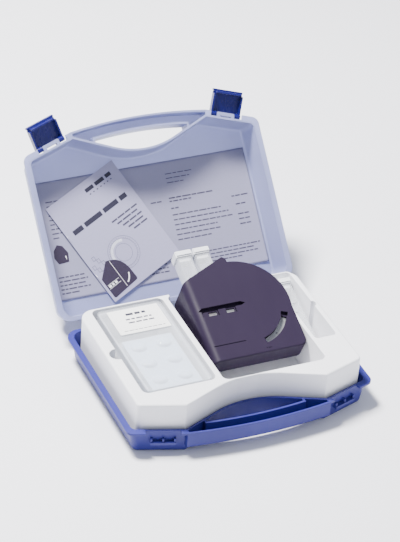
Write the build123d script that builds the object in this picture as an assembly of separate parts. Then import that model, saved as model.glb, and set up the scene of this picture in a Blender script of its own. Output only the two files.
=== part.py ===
from build123d import *
import os
from math import sin, cos, tan, radians, degrees, atan2, hypot

os.makedirs("parts", exist_ok=True)

# ------------------------------------------------------------------
# Driving dimensions, millimetres.  Working frame: X across the case,
# -Y towards the handle, +Z up, case standing on Z = 0.  Every piece is
# moved by Y_SHIFT at the end, so that the origin is the bottom centre
# of the whole kit with its lid open.
# ------------------------------------------------------------------
Y_SHIFT = -72.388

RIM_Z = 28.0            # top of the lower shell
LID_Z = 28.3            # bottom of the closed lid
LID_TOP = 62.4          # top of the closed lid
HALF_W = 137.5          # half width over the rim flange
BACK_Y = 92.5           # back of the rim flange
WALL = 2.2              # shell wall
FLANGE_T = 2.4          # rim flange thickness

HINGE_Y = 98.3          # lid hinge axis
HINGE_Z = 28.15
LID_OPEN = 133.3        # degrees from closed to the open stop
HINGE_X = (-82.0, 82.0)
KNUCKLE_R = 4.2
HINGE_PIN_R = 1.5

# front plan curve (concave hand opening between two slanted faces)
BEND_X, BEND_Y = 78.4, -96.4
SLANT = 0.319           # slope of the slanted latch faces
APEX_Y = -71.8
ARC_R = 98.4
ARC_A = 22.8            # degrees, half angle of the concave arc

BOW_X, BOW_Y0, BOW_Y1 = 80.0, -107.6, -113.6   # handle bow outer arc
GRIP_X, GRIP_Y0, GRIP_Y1 = 54.0, -95.6, -99.0  # hand opening outer arc
BOW_H = 18.5            # height of each handle half

TRAY_HW, TRAY_BACK, TRAY_TOP, TRAY_BOT = 125.0, 86.3, 56.0, 2.25
TRAY_T = 1.5

LATCH_S = 103.0         # x of the latch centre on the slanted face
PIVOT_O, PIVOT_Z = -1.2, 34.6
LATCH_PIN_R = 1.4
LATCH_OPEN = 70.0       # degrees the latch stands open

# comparator: local u across, v up its length, w out of its face
CMP_X, CMP_Y, CMP_Z = -16.5, -31.0, 48.4
CMP_TILT = 23.6
CMP_U0, CMP_U1 = -3.0, 105.0
CMP_T = 43.0
DISC_U, DISC_V, DISC_R = 50.0, 58.0, 50.6
SHELL_R = 55.3
CELL_U = (17.5, 38.0)
CELL_W = 16.4
CELL_V0, CELL_V1 = 49.0, 138.0
CELL_WC = -24.0

# ------------------------------------------------------------------
def bend(e):
    return (BEND_X - 0.048 * e, BEND_Y - 1.0645 * e)

def plan(hw, yb, e, rb=14.0, rf=9.0):
    """Case plan outline: half width hw, back at yb, front moved out by e."""
    bx, by = bend(e)
    a = radians(ARC_A)
    r = ARC_R - e
    cyy = APEX_Y - ARC_R
    ax, ay = r * sin(a), cyy + r * cos(a)
    yc = by + SLANT * (hw - bx)
    with BuildSketch() as s:
        with BuildLine():
            Line((ax, ay), (bx, by))
            Line((bx, by), (hw, yc))
            Line((hw, yc), (hw, yb))
            Line((hw, yb), (-hw, yb))
            Line((-hw, yb), (-hw, yc))
            Line((-hw, yc), (-bx, by))
            Line((-bx, by), (-ax, ay))
            ThreePointArc((-ax, ay), (0, cyy + r), (ax, ay))
        make_face()
        back = [v for v in s.vertices() if abs(v.Y - yb) < 1e-3]
        fillet(back, rb)
        fr = [v for v in s.vertices() if abs(abs(v.X) - hw) < 1e-3 and v.Y < 0 and abs(v.Y - yc) < 1e-3]
        fillet(fr, rf)
    return s.sketch

def slab(sk, z0, z1):
    return Pos(0, 0, z0) * extrude(sk, amount=z1 - z0)

def frustum(a, z0, b, z1):
    """Ruled solid between two plan outlines at two heights."""
    return loft([Pos(0, 0, z0) * a.faces()[0], Pos(0, 0, z1) * b.faces()[0]], ruled=True)

def bow(x, y0, y1, back=-60.0):
    with BuildSketch() as s:
        with BuildLine():
            ThreePointArc((-x, y0), (0, y1), (x, y0))
            Line((x, y0), (x, back))
            Line((x, back), (-x, back))
            Line((-x, back), (-x, y0))
        make_face()
    return s.sketch

def box(x0, x1, y0, y1, z0, z1):
    return Pos((x0 + x1) / 2, (y0 + y1) / 2, (z0 + z1) / 2) * Box(x1 - x0, y1 - y0, z1 - z0)

def cyl_x(x0, x1, y, z, r):
    return Pos((x0 + x1) / 2, y, z) * Rot(0, 90, 0) * Cylinder(r, x1 - x0)

def one(shape):
    """Largest solid of a boolean result."""
    ss = sorted(shape.solids(), key=lambda q: -q.volume)
    return ss[0]

def soften(shape, edges, radii):
    for r in radii:
        try:
            out = fillet(edges(shape), r)
            if out.is_valid and out.volume > 0:
                return out
        except Exception:
            pass
    return shape

# local frame on a slanted latch face: s along it, o out of it, z up
def face_frame(side):
    bx, by = bend(11.0)
    x = LATCH_S
    y = by + SLANT * (x - bx)
    ang = degrees(atan2(SLANT, 1.0)) * side
    return Pos(side * x, y, 0) * Rot(0, 0, ang)

def fbox(side, s0, s1, o0, o1, z0, z1):
    # o grows out of the case, which is local -Y
    return face_frame(side) * box(s0, s1, -o1, -o0, z0, z1)

# ------------------------------------------------------------------
# lower shell
# ------------------------------------------------------------------
def shell_half(lid):
    """A half of the case. Built with z = 0 at the outside panel and
    z = H at the rim; the lid is turned over afterwards by the caller."""
    H = (LID_TOP - LID_Z) if lid else RIM_Z
    d0 = 3.4 if lid else 4.4          # draft over the wall
    db = 0.6 if lid else 0.0          # share of it at the back
    outer_t = plan(133.0, 90.4, 5.5, 13.0, 8.0)
    outer_b = plan(133.0 - d0, 90.4 - d0 * db, 5.5 - d0 * 0.4, 13.0, 8.0)
    inner_t = plan(133.0 - WALL, 90.4 - WALL, 5.5 - WALL, 11.5, 6.5)
    inner_b = plan(133.0 - WALL - d0 * 0.93, 90.4 - WALL - d0 * db, 5.5 - WALL - d0 * 0.4, 11.5, 6.5)
    body = frustum(outer_b, 0, outer_t, H)
    body = soften(body, lambda q: q.faces().sort_by(Axis.Z)[0].edges(), (4.0, 3.0, 2.0, 1.2))
    cavity = frustum(inner_b, WALL, inner_t, H)
    cavity = soften(cavity, lambda q: q.faces().sort_by(Axis.Z)[0].edges(), (2.4, 1.6) if lid else (1.2, 0.8))
    flange = slab(plan(HALF_W, BACK_Y, 11.0, 15.0, 9.0), H - FLANGE_T, H)
    flange -= box(-BOW_X, BOW_X, -130, -60, 0, H + 1)
    h0 = H - BOW_H
    bow_full = slab(bow(BOW_X, BOW_Y0, BOW_Y1), h0, H)
    bow_full = soften(bow_full, lambda q: [e for e in q.faces().sort_by(Axis.Z)[0].edges() if e.center().Y < -100], (3.0, 2.0, 1.0))
    channel = slab(bow(BOW_X - WALL, BOW_Y0 + WALL, BOW_Y1 + WALL), h0 + WALL, H + 1)
    channel -= slab(plan(133.0, 90.4, 5.7, 13.0, 8.0), -1, H + 2)
    grip = slab(bow(GRIP_X, GRIP_Y0, GRIP_Y1), -1, H + 2)
    grip -= slab(plan(133.0, 90.4, 5.7, 13.0, 8.0), -2, H + 3)
    ring = slab(bow(GRIP_X + WALL, GRIP_Y0 - WALL, GRIP_Y1 - WALL), -1, H + 2)
    channel -= ring
    bow_part = bow_full - channel - grip
    out = body + flange + bow_part
    out -= cavity
    out -= Pos(0, 0, H) * extrude(inner_t, amount=5)
    return out, H

low, _ = shell_half(False)
# lower hinge knuckles: two outer ones at each hinge
for hx in HINGE_X:
    for s in (-1, 1):
        x0, x1 = sorted((hx + s * 6.3, hx + s * 14.0))
        k = cyl_x(x0, x1, HINGE_Y, HINGE_Z, KNUCKLE_R)
        web = box(x0, x1, BACK_Y - 3.0, HINGE_Y, RIM_Z - 4.4, RIM_Z - 0.2)
        strut = box(x0, x1, 88.9, HINGE_Y - 2.0, RIM_Z - 9.0, RIM_Z - 2.0)
        strut -= Pos(0, HINGE_Y - 1.0, RIM_Z - 10.2) * Rot(0, 90, 0) * Cylinder(5.6, 400)
        low += k + web + strut
    low -= cyl_x(hx - 15, hx + 15, HINGE_Y, HINGE_Z, HINGE_PIN_R)
    # gap for the lid's knuckle
    low -= cyl_x(hx - 6.3, hx + 6.3, HINGE_Y, HINGE_Z, KNUCKLE_R + 0.6)
# keep the lid's swing clear of the knuckle webs
for side in (-1, 1):
    low -= fbox(side, -18.2, 18.2, -5.35, 2.0, RIM_Z - FLANGE_T - 1, RIM_Z + 1)
    bar = fbox(side, -13.0, 13.0, -6.2, -1.6, 12.0, 15.2)
    for s in (-12.0, 0.0, 12.0):
        bar += fbox(side, s - 1.0, s + 1.0, -6.2, -2.6, 15.0, 19.0)
    low += bar
lower_shell = one(low)

# ------------------------------------------------------------------
# lid shell, in its closed position
# ------------------------------------------------------------------
lid0, LH = shell_half(True)
lid = Pos(0, 0, LID_TOP) * mirror(lid0, about=Plane.XY)
for hx in HINGE_X:
    k = cyl_x(hx - 5.9, hx + 5.9, HINGE_Y, HINGE_Z, KNUCKLE_R)
    web = box(hx - 5.9, hx + 5.9, BACK_Y - 3.0, HINGE_Y, LID_Z + 0.1, LID_Z + 4.2)
    lid += k + web
    lid -= cyl_x(hx - 15, hx + 15, HINGE_Y, HINGE_Z, HINGE_PIN_R + 0.08)
    # room for the lower knuckles beside it
    for s in (-1, 1):
        x0, x1 = sorted((hx + s * 5.95, hx + s * 14.4))
        lid -= cyl_x(x0, x1, HINGE_Y, HINGE_Z, KNUCKLE_R + 0.5)
for side in (-1, 1):
    lid -= fbox(side, -18.2, 18.2, -5.35, 2.0, LID_Z - 1, LID_Z + FLANGE_T + 0.1)
    eye = fbox(side, -10.2, 10.2, -6.4, 0.95, 32.0, 36.75)
    eye = soften(eye, lambda q: q.edges().filter_by(Axis.Z), (1.4, 1.0))
    eye -= fbox(side, -6.4, 6.4, -5.0, -3.1, 30, 40)
    eye -= face_frame(side) * cyl_x(-20, 20, -PIVOT_O, PIVOT_Z, LATCH_PIN_R + 0.07)
    lid += eye
lid_closed = one(lid)

# ------------------------------------------------------------------
# latches, in their closed position
# ------------------------------------------------------------------
def latch(side):
    plate = fbox(side, -17.0, 17.0, 2.2, 4.4, 8.6, 37.6)
    plate = soften(plate, lambda q: q.edges().filter_by(lambda e: abs(e.length - 2.2) < 0.01), (3.0, 2.0))
    out = plate
    for s in (-1, 1):
        a0, a1 = sorted((s * 10.6, s * 17.0))
        ear = fbox(side, a0, a1, PIVOT_O, 3.0, PIVOT_Z - 3.0, PIVOT_Z + 3.0)
        ear += face_frame(side) * cyl_x(a0, a1, -PIVOT_O, PIVOT_Z, 3.0)
        rib = fbox(side, *sorted((s * 14.9, s * 17.0)), -2.6, 3.0, 12.0, 33.5)
        out += ear + rib
    hook = fbox(side, -14.6, 14.6, -4.0, 3.2, 9.2, 11.5)
    hook = soften(hook, lambda q: q.edges().filter_by(lambda e: abs(e.length - 29.2) < 0.01), (0.7, 0.4))
    out += hook
    lip = fbox(side, -17.0, 17.0, 2.2, 6.4, 7.4, 9.6)
    lip = soften(lip, lambda q: q.edges().filter_by(lambda e: abs(e.length - 34.0) < 0.01), (0.9, 0.5))
    out += lip
    out -= face_frame(side) * cyl_x(-20, 20, -PIVOT_O, PIVOT_Z, LATCH_PIN_R)
    pin = face_frame(side) * cyl_x(-16.9, 16.9, -PIVOT_O, PIVOT_Z, LATCH_PIN_R)
    return one(out), pin

def latch_axis(side):
    """A point and direction of the latch pivot, closed lid."""
    f = face_frame(side)
    p = f * Pos(0, -PIVOT_O, PIVOT_Z)
    q = f * Pos(1, -PIVOT_O, PIVOT_Z)
    a = Vector(*p.position)
    b = Vector(*q.position)
    return a, (b - a).normalized()

def turn(shape, point, direction, angle):
    return shape.rotate(Axis(tuple(point), tuple(direction)), angle)

HINGE_P = Vector(0, HINGE_Y, HINGE_Z)
HINGE_D = Vector(1, 0, 0)

def opened(shape):
    """From the closed position to the open stop."""
    return turn(shape, HINGE_P, HINGE_D, -LID_OPEN)

latches = {}
for side, nm in ((-1, "left"), (1, "right")):
    body, pin = latch(side)
    a, d = latch_axis(side)
    latches[nm] = tuple(opened(turn(q, a, d, -LATCH_OPEN)) for q in (body, pin))
    e = opened(Pos(*a) * Sphere(1)).center()
    dd = Vector(*d)
    c0, s0 = cos(radians(-LID_OPEN)), sin(radians(-LID_OPEN))
    print("latch", nm, "axis point", [round(t, 4) for t in (e.X, e.Y + Y_SHIFT, e.Z)],
          "dir", [round(t, 6) for t in (dd.X, dd.Y * c0 - dd.Z * s0, dd.Y * s0 + dd.Z * c0)])

lid_open = opened(lid_closed)
hinge_pins = [cyl_x(hx - 13.9, hx + 13.9, HINGE_Y, HINGE_Z, HINGE_PIN_R) for hx in HINGE_X]

# ------------------------------------------------------------------
# papers that lie in the lid (closed position)
# ------------------------------------------------------------------
leaflet = opened(box(-122.5, 124.5, -64.0, 67.0, 59.25, 59.85))
bk = Pos(-46.5, 2.0, 58.2) * Rot(0, 0, -25.5) * Box(95.0, 125.0, 1.6)
booklet = opened(bk)

# ------------------------------------------------------------------
# insert tray
# ------------------------------------------------------------------
def rrect(x0, x1, y0, y1, r):
    with BuildSketch() as s:
        with Locations(((x0 + x1) / 2, (y0 + y1) / 2)):
            RectangleRounded(x1 - x0, y1 - y0, r)
    return s.sketch

PK_BOX = (-112.0, -31.5, -66.0, 83.0)
PK_CMP = (-25.5, 90.0, -71.0, 83.0)
PK_CELL = (94.0, 118.5, -36.0, 83.4)
PK_Z = {"box": 14.0, "cmp": 8.7, "cell": 5.6}

def pocket_sketch(kind, e=0.0):
    if kind == "box":
        x0, x1, y0, y1 = PK_BOX
        s = rrect(x0 - e, x1 + e, y0 - e, y1 + e, 7.0 + e)
        with BuildSketch() as c:
            with Locations((-112.5, 4.0)):
                Circle(9.0 + e)
        return s + c.sketch
    if kind == "cmp":
        x0, x1, y0, y1 = PK_CMP
        return rrect(x0 - e, x1 + e, y0 - e, y1 + e, 7.0 + e)
    x0, x1, y0, y1 = PK_CELL
    s = rrect(x0 - e, x1 + e, y0 - e, y1 + e, 4.0 + e)
    with BuildSketch() as c:
        with Locations((117.0, 22.0)):
            Circle(5.0 + e)
    return s + c.sketch

t_out = slab(plan(TRAY_HW, TRAY_BACK, 0.0, 15.0, 6.0), TRAY_BOT, TRAY_TOP)
top_back = lambda q: [e for e in q.faces().sort_by(Axis.Z)[-1].edges() if e.center().Y > -75 and abs(e.center().X) > 100 or e.center().Y > 60]
t_out = soften(t_out, top_back, (2.4, 2.0, 1.5))
front_e = lambda q: [e for e in q.faces().sort_by(Axis.Z)[-1].edges() if e.center().Y < -70]
t_out = soften(t_out, front_e, (1.2, 0.8))
t_in = slab(plan(TRAY_HW - TRAY_T, TRAY_BACK - TRAY_T, -TRAY_T, 13.5, 4.5), TRAY_BOT - 1, TRAY_TOP - TRAY_T)
tray = t_out - t_in
for k in ("box", "cmp", "cell"):
    tray += slab(pocket_sketch(k, TRAY_T), PK_Z[k] - TRAY_T, TRAY_TOP - 0.2)
for k in ("box", "cmp", "cell"):
    tray -= slab(pocket_sketch(k), PK_Z[k], TRAY_TOP + 1)
# low place in the back wall behind the comparator pocket
tray -= box(-22.0, 44.0, 80.0, 88.0, 22.0, 60.0)
# soft edge round the pockets
tray = soften(tray, lambda q: [e for e in q.edges() if abs(e.center().Z - TRAY_TOP) < 0.01 and -118 < e.center().X < 119
                               and -72.5 < e.center().Y < 83.2 and all(abs(v.Z - TRAY_TOP) < 0.01 for v in e.vertices())
                               and e.center().Y > -71.4], (0.9, 0.6))
insert_tray = one(tray)

# ------------------------------------------------------------------
# comparator, in its local frame: x = u, y = v, z = w
# ------------------------------------------------------------------
CMP = Pos(CMP_X, CMP_Y, CMP_Z) * Rot(CMP_TILT, 0, 0)
SPLIT_W = -17.0        # joint between the front and back shells
PART_T = 2.0

def cmp_outline(e=0.0, disc_only=False):
    """Front view: block at the left, disc housing at the right."""
    with BuildSketch() as s:
        if not disc_only:
            with BuildLine():
                Polyline((CMP_U0 + e, -1 + e), (58.0, -1 + e), (58.0, 60.0), (53.5, 117.5 - 1.2 * e), (50.0, 120.2 - 1.2 * e),
                         (CMP_U0 + e, 98.0 - 1.1 * e), (CMP_U0 + e, -1 + e))
            make_face()
        with Locations((DISC_U, DISC_V)):
            Circle(SHELL_R - e)
        with BuildLine():
            Polyline((40, -1 + e), (CMP_U1 - e, -1 + e), (CMP_U1 - e, DISC_V), (40, DISC_V), (40, -1 + e))
        make_face()
        with Locations((CMP_U0 + e - 25, 50)):
            Rectangle(50, 220, mode=Mode.SUBTRACT)
    sk = s.sketch
    try:
        vs = [v for v in sk.vertices() if v.X > 100 and v.Y < 5]
        sk = fillet(vs, 8.0 - e)
        vs = [v for v in sk.vertices() if v.X < CMP_U0 + e + 0.5 and (v.Y < 5 or v.Y > 90)]
        sk = fillet(vs, 4.0)
    except Exception:
        pass
    return sk

full = cmp_outline(0.0)
# front shell
front = slab(full, SPLIT_W, 0.0)
# long rounded left edge and softened rim
EDGE_R = 9.0
edge_cut = box(CMP_U0 - 2.0, CMP_U0 + EDGE_R, -20, 140, -EDGE_R, 2.0)
edge_cut -= Pos(CMP_U0 + EDGE_R, 60, -EDGE_R) * Rot(90, 0, 0) * Cylinder(EDGE_R, 200)
front -= edge_cut
# the disc side of the face stands a little lower
drop = Pos(0, 0, 0) * extrude(Plane.XZ * Polygon((54, 0.01), (110, 0.01), (110, -2.8), (57.5, -1.5), align=None), amount=-130)
front -= Pos(0, -4, 0) * drop
front = soften(front, lambda q: [e for e in q.edges() if e.center().Z > -3.2 and e.center().X > 60 and (e.center().X > 100 or e.center().Y < 0)], (1.6, 1.0, 0.6))
inner_front = slab(cmp_outline(PART_T), SPLIT_W - 1, -5.0)
front -= inner_front
# sight slit with its stepped floor
with BuildSketch() as slit_sk:
    with BuildLine():
        Polyline((2.0, 60.9), (6.5, 59.3), (50.5, 59.3), (55.5, 61.2), (50.5, 63.9), (6.5, 63.9), (2.0, 60.9))
    make_face()
front -= slab(slit_sk.sketch, -4.1, 1)
front -= box(5.0, 12.6, 53.2, 59.4, -1.6, 1)
front -= box(12.5, 22.5, 53.2, 59.4, -12, 1)
front -= box(22.4, 23.5, 52.2, 59.4, -3.6, 1)
front -= box(32.0, 42.5, 53.2, 59.4, -12, 1)
front -= box(42.4, 43.5, 52.2, 59.4, -3.6, 1)
# arc window over the scale
def arc_band(r0, r1, a0, a1):
    with BuildSketch() as s:
        with BuildLine():
            p = lambda r, a: (DISC_U + r * cos(radians(a)), DISC_V + r * sin(radians(a)))
            am = (a0 + a1) / 2
            ThreePointArc(p(r1, a0), p(r1, am), p(r1, a1))
            Line(p(r1, a1), p(r0, a1))
            ThreePointArc(p(r0, a1), p(r0, am), p(r0, a0))
            Line(p(r0, a0), p(r1, a0))
        make_face()
    return s.sketch
front -= slab(arc_band(43.2, 49.6, -76, -26), -12, 1)
front -= slab(arc_band(42.6, 50.2, -26, -21), -3.6, 1)
# engraved line and small tick
front -= box(4.0, 40.0, 16.6, 17.5, -0.6, 1)
front -= box(58.5, 64.5, 3.4, 4.0, -2.9, 1)
# boss for the disc axle
front += Pos(DISC_U, DISC_V, -6.6) * Cylinder(5.0, 3.6)
# screw bosses on the inside
SCREWS = [(3.6, 6.0), (97.0, 7.0), (3.4, 91.5)]
for u, v in SCREWS:
    b = Pos(u, v, (SPLIT_W - 5.0) / 2 + 0.0) * Cylinder(2.9, abs(SPLIT_W + 5.0) + 0.6)
    front += b & slab(full, SPLIT_W, -4)
    front -= Pos(u, v, SPLIT_W + 4.5) * Cylinder(1.0, 9.4)
front -= Pos(DISC_U, DISC_V, -6.9) * Cylinder(2.02, 4.6)
front_shell = one(front)

# back shell: deep behind the cells, shallow behind the disc
def prism_vw(pts, u0, u1):
    """Prism along u from (v, w) points."""
    f = Plane.YZ * Polygon(*pts, align=None)
    return Pos(u0, 0, 0) * extrude(f, amount=u1 - u0)

profile = [(-1.0, SPLIT_W), (-1.0, -20.5), (9.5, -CMP_T), (95.0, -CMP_T), (120.5, -30.0), (120.5, SPLIT_W)]
deep = prism_vw(profile, CMP_U0, 58.0) & slab(cmp_outline(0.0), -60, 0)
shallow = slab(full, SPLIT_W - 6.0, SPLIT_W)
# hollow blend between the deep and the shallow part
blend_r = 12.0
fill = prism_vw(profile, 57.9, 58.0 + blend_r) & slab(full, -60, 0)
fill -= Pos(58.0 + blend_r, 60, SPLIT_W - 6.0 - blend_r) * Rot(90, 0, 0) * Cylinder(blend_r, 200)
fill -= box(57, 120, -10, 130, -60, SPLIT_W - 6.0 - blend_r)
back = deep + shallow + fill
prof_in = [(1.0, SPLIT_W + 1), (1.0, -19.6), (10.9, -CMP_T + PART_T), (94.2, -CMP_T + PART_T), (118.0, -29.0), (118.0, SPLIT_W + 1)]
hollow = (prism_vw(prof_in, CMP_U0 + PART_T, 56.0) & slab(cmp_outline(PART_T), -60, 0)) + slab(cmp_outline(PART_T), SPLIT_W - 4.0, SPLIT_W + 1)
back -= hollow
# slanted mouth opening for the two cells
for cu in CELL_U:
    h = CELL_W / 2 + 0.45
    mouth = box(cu - h, cu + h, 80.0, 130.0, CELL_WC - h, CELL_WC + h)
    back -= mouth
# floor that the cells stand on, and the rib behind each cell
back += box(CMP_U0 + 1.0, 50.0, CELL_V0 - 3.0, CELL_V0 - 0.4, -CMP_T + 1.0, -17.4) - box(24, 31, 40, 60, -30, -10)
for u0, u1 in ((26.9, 28.6),):
    back += box(u0, u1, 52.0, 96.0, -CMP_T + 1.0, -17.4)
# diffuser window in the back
back -= box(7.0, 49.0, 52.0, 72.0, -CMP_T - 1, -CMP_T + 3)
back -= box(5.0, 51.0, 50.0, 74.0, -CMP_T + 1.0, -CMP_T + 3)
# screw bosses
for u, v in SCREWS:
    top = SPLIT_W - 0.0
    bot = -CMP_T + 1.0 if u < 50 else SPLIT_W - 5.0
    if u < 50 and v < 20:
        bot = -26.0
    cylb = Pos(u, v, (top + bot) / 2) * Cylinder(2.9, top - bot)
    back += cylb & (deep + shallow)
    back -= Pos(u, v, -30) * Cylinder(1.15, 60)
    back -= Pos(u, v, (-26.5 if u < 50 else SPLIT_W - 4.2) - 14) * Cylinder(2.3, 28)
back_shell = one(back)

# the front shell gives way where the cells pass
for cu in CELL_U:
    h = CELL_W / 2 + 0.45
    front_shell = one(front_shell - box(cu - h, cu + h, 40.0, 130.0, CELL_WC - h, CELL_WC + h))

screws = []
for u, v in SCREWS:
    z_head = -26.5 if u < 50 else SPLIT_W - 4.2
    sc = Pos(u, v, z_head - 0.9) * Cylinder(2.1, 1.8)
    sc += Pos(u, v, (z_head + SPLIT_W + 7.0) / 2) * Cylinder(0.97, SPLIT_W + 7.0 - z_head)
    screws.append(sc - Pos(u, v, z_head - 1.8) * Box(0.6, 3.0, 1.2))

# axle, hub, disc and its nine coloured fields
axle = Pos(DISC_U, DISC_V, -10.6) * Cylinder(2.0, 12.0)
disc = Pos(DISC_U, DISC_V, -12.5) * Cylinder(DISC_R - 0.4, 2.4)
disc -= Pos(DISC_U, DISC_V, -12.5) * Cylinder(6.0, 4)
N_FIELD, FIELD_R = 9, 32.5
fields = []
for i in range(N_FIELD):
    a = radians(180.0 + i * 360.0 / N_FIELD)
    p = (DISC_U + FIELD_R * cos(a), DISC_V + FIELD_R * sin(a))
    disc -= Pos(*p, -12.5) * Cylinder(6.6, 4)
    fields.append(Pos(*p, -12.5) * Cylinder(6.6, 2.0))
hub = Pos(DISC_U, DISC_V, -12.5) * Cylinder(6.0, 3.6) - Pos(DISC_U, DISC_V, -12.5) * Cylinder(2.06, 8)
hub += (Pos(DISC_U, DISC_V, -14.05) * Cylinder(8.5, 0.7)) - Pos(DISC_U, DISC_V, -12.5) * Cylinder(2.06, 8)

view_lens = slab(rrect(0.6, 44.6, 52.0, 66.5, 2.0), -6.3, -5.1)
scale_lens = slab(arc_band(41.6, 51.4, -78.5, -22.5), -6.3, -5.1)
diffuser = box(5.2, 50.8, 50.2, 73.8, -CMP_T + 1.05, -CMP_T + 2.6)

# cells: square clear tubes with a cap that plugs in
def make_cell():
    h = CELL_W / 2
    L = CELL_V1 - CELL_V0
    b = box(-h, h, 0, L, -h, h)
    b = soften(b, lambda q: q.edges().filter_by(Axis.Y), (1.2, 0.8))
    cav = box(-h + 1.5, h - 1.5, 2.0, L + 1, -h + 1.5, h - 1.5)
    b = b - cav
    c = box(-9.2, 9.2, L + 0.0, L + 7.0, -9.2, 9.2)
    c = soften(c, lambda q: q.edges().filter_by(Axis.Y), (1.4, 1.0))
    lip = box(-8.6, 8.6, L + 1.4, L + 6.0, 9.0, 10.3)
    plug = box(-h + 1.7, h - 1.7, L - 5.0, L + 0.2, -h + 1.7, h - 1.7) - box(-h + 3.2, h - 3.2, L - 6.0, L - 0.8, -h + 3.2, h - 3.2)
    return b, c + lip + plug

cell_body, cell_cap = make_cell()
cells = []
for cu in CELL_U:
    loc = CMP * Pos(cu, CELL_V0, CELL_WC)
    cells.append((loc * cell_body, loc * cell_cap))

# spare cell lying in its own pocket, cap end raised on the back wall
SPARE_TILT = 19.0
SPARE = Pos(107.0, -11.2, 14.4) * Rot(SPARE_TILT, 0, 0)
spare = (SPARE * cell_body, SPARE * cell_cap)

# ------------------------------------------------------------------
# tablet box: base, lift-off lid, card label, blister strips, tablets
# ------------------------------------------------------------------
BX0, BX1, BY0, BY1 = -105.0, -36.0, -61.5, 79.5
BZ0, BZ1 = 14.3, 52.0
b_out = slab(rrect(BX0, BX1, BY0, BY1, 4.0), BZ0, BZ1)
b_out = soften(b_out, lambda q: q.faces().sort_by(Axis.Z)[0].edges(), (1.5, 1.0))
tb_base = b_out - slab(rrect(BX0 + 1.5, BX1 - 1.5, BY0 + 1.5, BY1 - 1.5, 2.6), BZ0 + 1.5, BZ1 + 1)
l_out = slab(rrect(BX0 - 1.7, BX1 + 1.7, BY0 - 1.7, BY1 + 1.7, 5.6), 45.0, 54.6)
l_out = soften(l_out, lambda q: q.faces().sort_by(Axis.Z)[-1].edges(), (1.0, 0.6))
tb_lid = l_out - slab(rrect(BX0 - 0.35, BX1 + 0.35, BY0 - 0.35, BY1 + 0.35, 4.3), 44.0, 53.2)
card = box(-97.0, -40.0, 34.0, 76.0, 54.65, 55.0)

strips = []
SP0, SP1, SQ0, SQ1 = -99.0, -42.0, -57.0, 30.0
z = 49.2
domes = []
tabs = []
strip = box(SP0, SP1, SQ0, SQ1, z - 0.5, z)
for i in range(2):
    for j in range(3):
        cx = SP0 + 14.5 + i * 28.0
        cy = SQ0 + 15.0 + j * 28.5
        dome = Pos(cx, cy, z) * Cylinder(8.2, 2.6, align=(Align.CENTER, Align.CENTER, Align.MIN))
        dome = soften(dome, lambda q: q.faces().sort_by(Axis.Z)[-1].edges(), (1.4, 1.0))
        cav = Pos(cx, cy, z) * Cylinder(7.6, 2.2, align=(Align.CENTER, Align.CENTER, Align.MIN))
        strip += dome - cav
        tabs.append(Pos(cx, cy, z + 0.02) * Cylinder(4.0, 1.9, align=(Align.CENTER, Align.CENTER, Align.MIN)))
strips.append(one(strip))
for k in range(6):
    z0 = z - 1.2 - 5.0 * (k + 1)
    strips.append(box(SP0 + 0.5, SP1 - 0.5, SQ0 + 0.5, SQ1 - 0.5, z0, z0 + 4.6))

# ------------------------------------------------------------------
# write every node
# ------------------------------------------------------------------
nodes = {
    "lower_shell": [lower_shell],
    "hinge_pins": hinge_pins,
    "insert_tray": [insert_tray],
    "lid_shell": [lid_open],
    "latch_left": [latches["left"][0]],
    "latch_right": [latches["right"][0]],
    "latch_pin_left": [latches["left"][1]],
    "latch_pin_right": [latches["right"][1]],
    "leaflet": [leaflet],
    "booklet": [booklet],
    "comparator_front_shell": [CMP * front_shell],
    "comparator_back_shell": [CMP * back_shell],
    "comparator_screws": [CMP * s for s in screws],
    "disc_axle": [CMP * axle],
    "colour_disc": [CMP * disc],
    "colour_fields": [CMP * f for f in fields],
    "disc_hub": [CMP * hub],
    "view_lens": [CMP * view_lens],
    "scale_lens": [CMP * scale_lens],
    "diffuser_plate": [CMP * diffuser],
    "cell_left": [cells[0][0]],
    "cell_left_cap": [cells[0][1]],
    "cell_right": [cells[1][0]],
    "cell_right_cap": [cells[1][1]],
    "spare_cell": [spare[0]],
    "spare_cell_cap": [spare[1]],
    "tablet_box_base": [tb_base],
    "tablet_box_lid": [tb_lid],
    "tablet_box_card": [card],
    "blister_strips": strips,
    "tablets": tabs,
}

lo = [1e9] * 3
hi = [-1e9] * 3
for name, shapes in nodes.items():
    solids = []
    for s in shapes:
        solids += (Pos(0, Y_SHIFT, 0) * s).solids()
    out = solids[0] if len(solids) == 1 else Compound(children=solids)
    bb = out.bounding_box()
    for i, (a, b) in enumerate(((bb.min.X, bb.max.X), (bb.min.Y, bb.max.Y), (bb.min.Z, bb.max.Z))):
        lo[i] = min(lo[i], a)
        hi[i] = max(hi[i], b)
    export_step(out, f"parts/{name}.step")
print("box", [round(t, 3) for t in lo], [round(t, 3) for t in hi])
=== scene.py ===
import math
import random

import bpy
import bmesh
from mathutils import Matrix, Vector


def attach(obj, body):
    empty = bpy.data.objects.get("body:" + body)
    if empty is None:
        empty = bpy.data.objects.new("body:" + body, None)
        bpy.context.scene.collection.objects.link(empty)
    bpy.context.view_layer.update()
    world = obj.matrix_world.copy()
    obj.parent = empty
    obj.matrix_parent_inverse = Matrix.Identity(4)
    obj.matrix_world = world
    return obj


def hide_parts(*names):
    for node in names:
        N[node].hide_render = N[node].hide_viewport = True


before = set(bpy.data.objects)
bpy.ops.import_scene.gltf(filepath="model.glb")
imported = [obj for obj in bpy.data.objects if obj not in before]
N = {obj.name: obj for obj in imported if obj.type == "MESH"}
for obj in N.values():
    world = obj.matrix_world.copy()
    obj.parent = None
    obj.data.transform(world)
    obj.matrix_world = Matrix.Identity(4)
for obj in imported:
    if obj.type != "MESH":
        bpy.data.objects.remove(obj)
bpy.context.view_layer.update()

# ------------------------------------------------------------------
# frames used to place things (millimetres of the design, then metres)
# ------------------------------------------------------------------
YS = -72.388
LID_ANGLE = math.radians(133.3)
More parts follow.
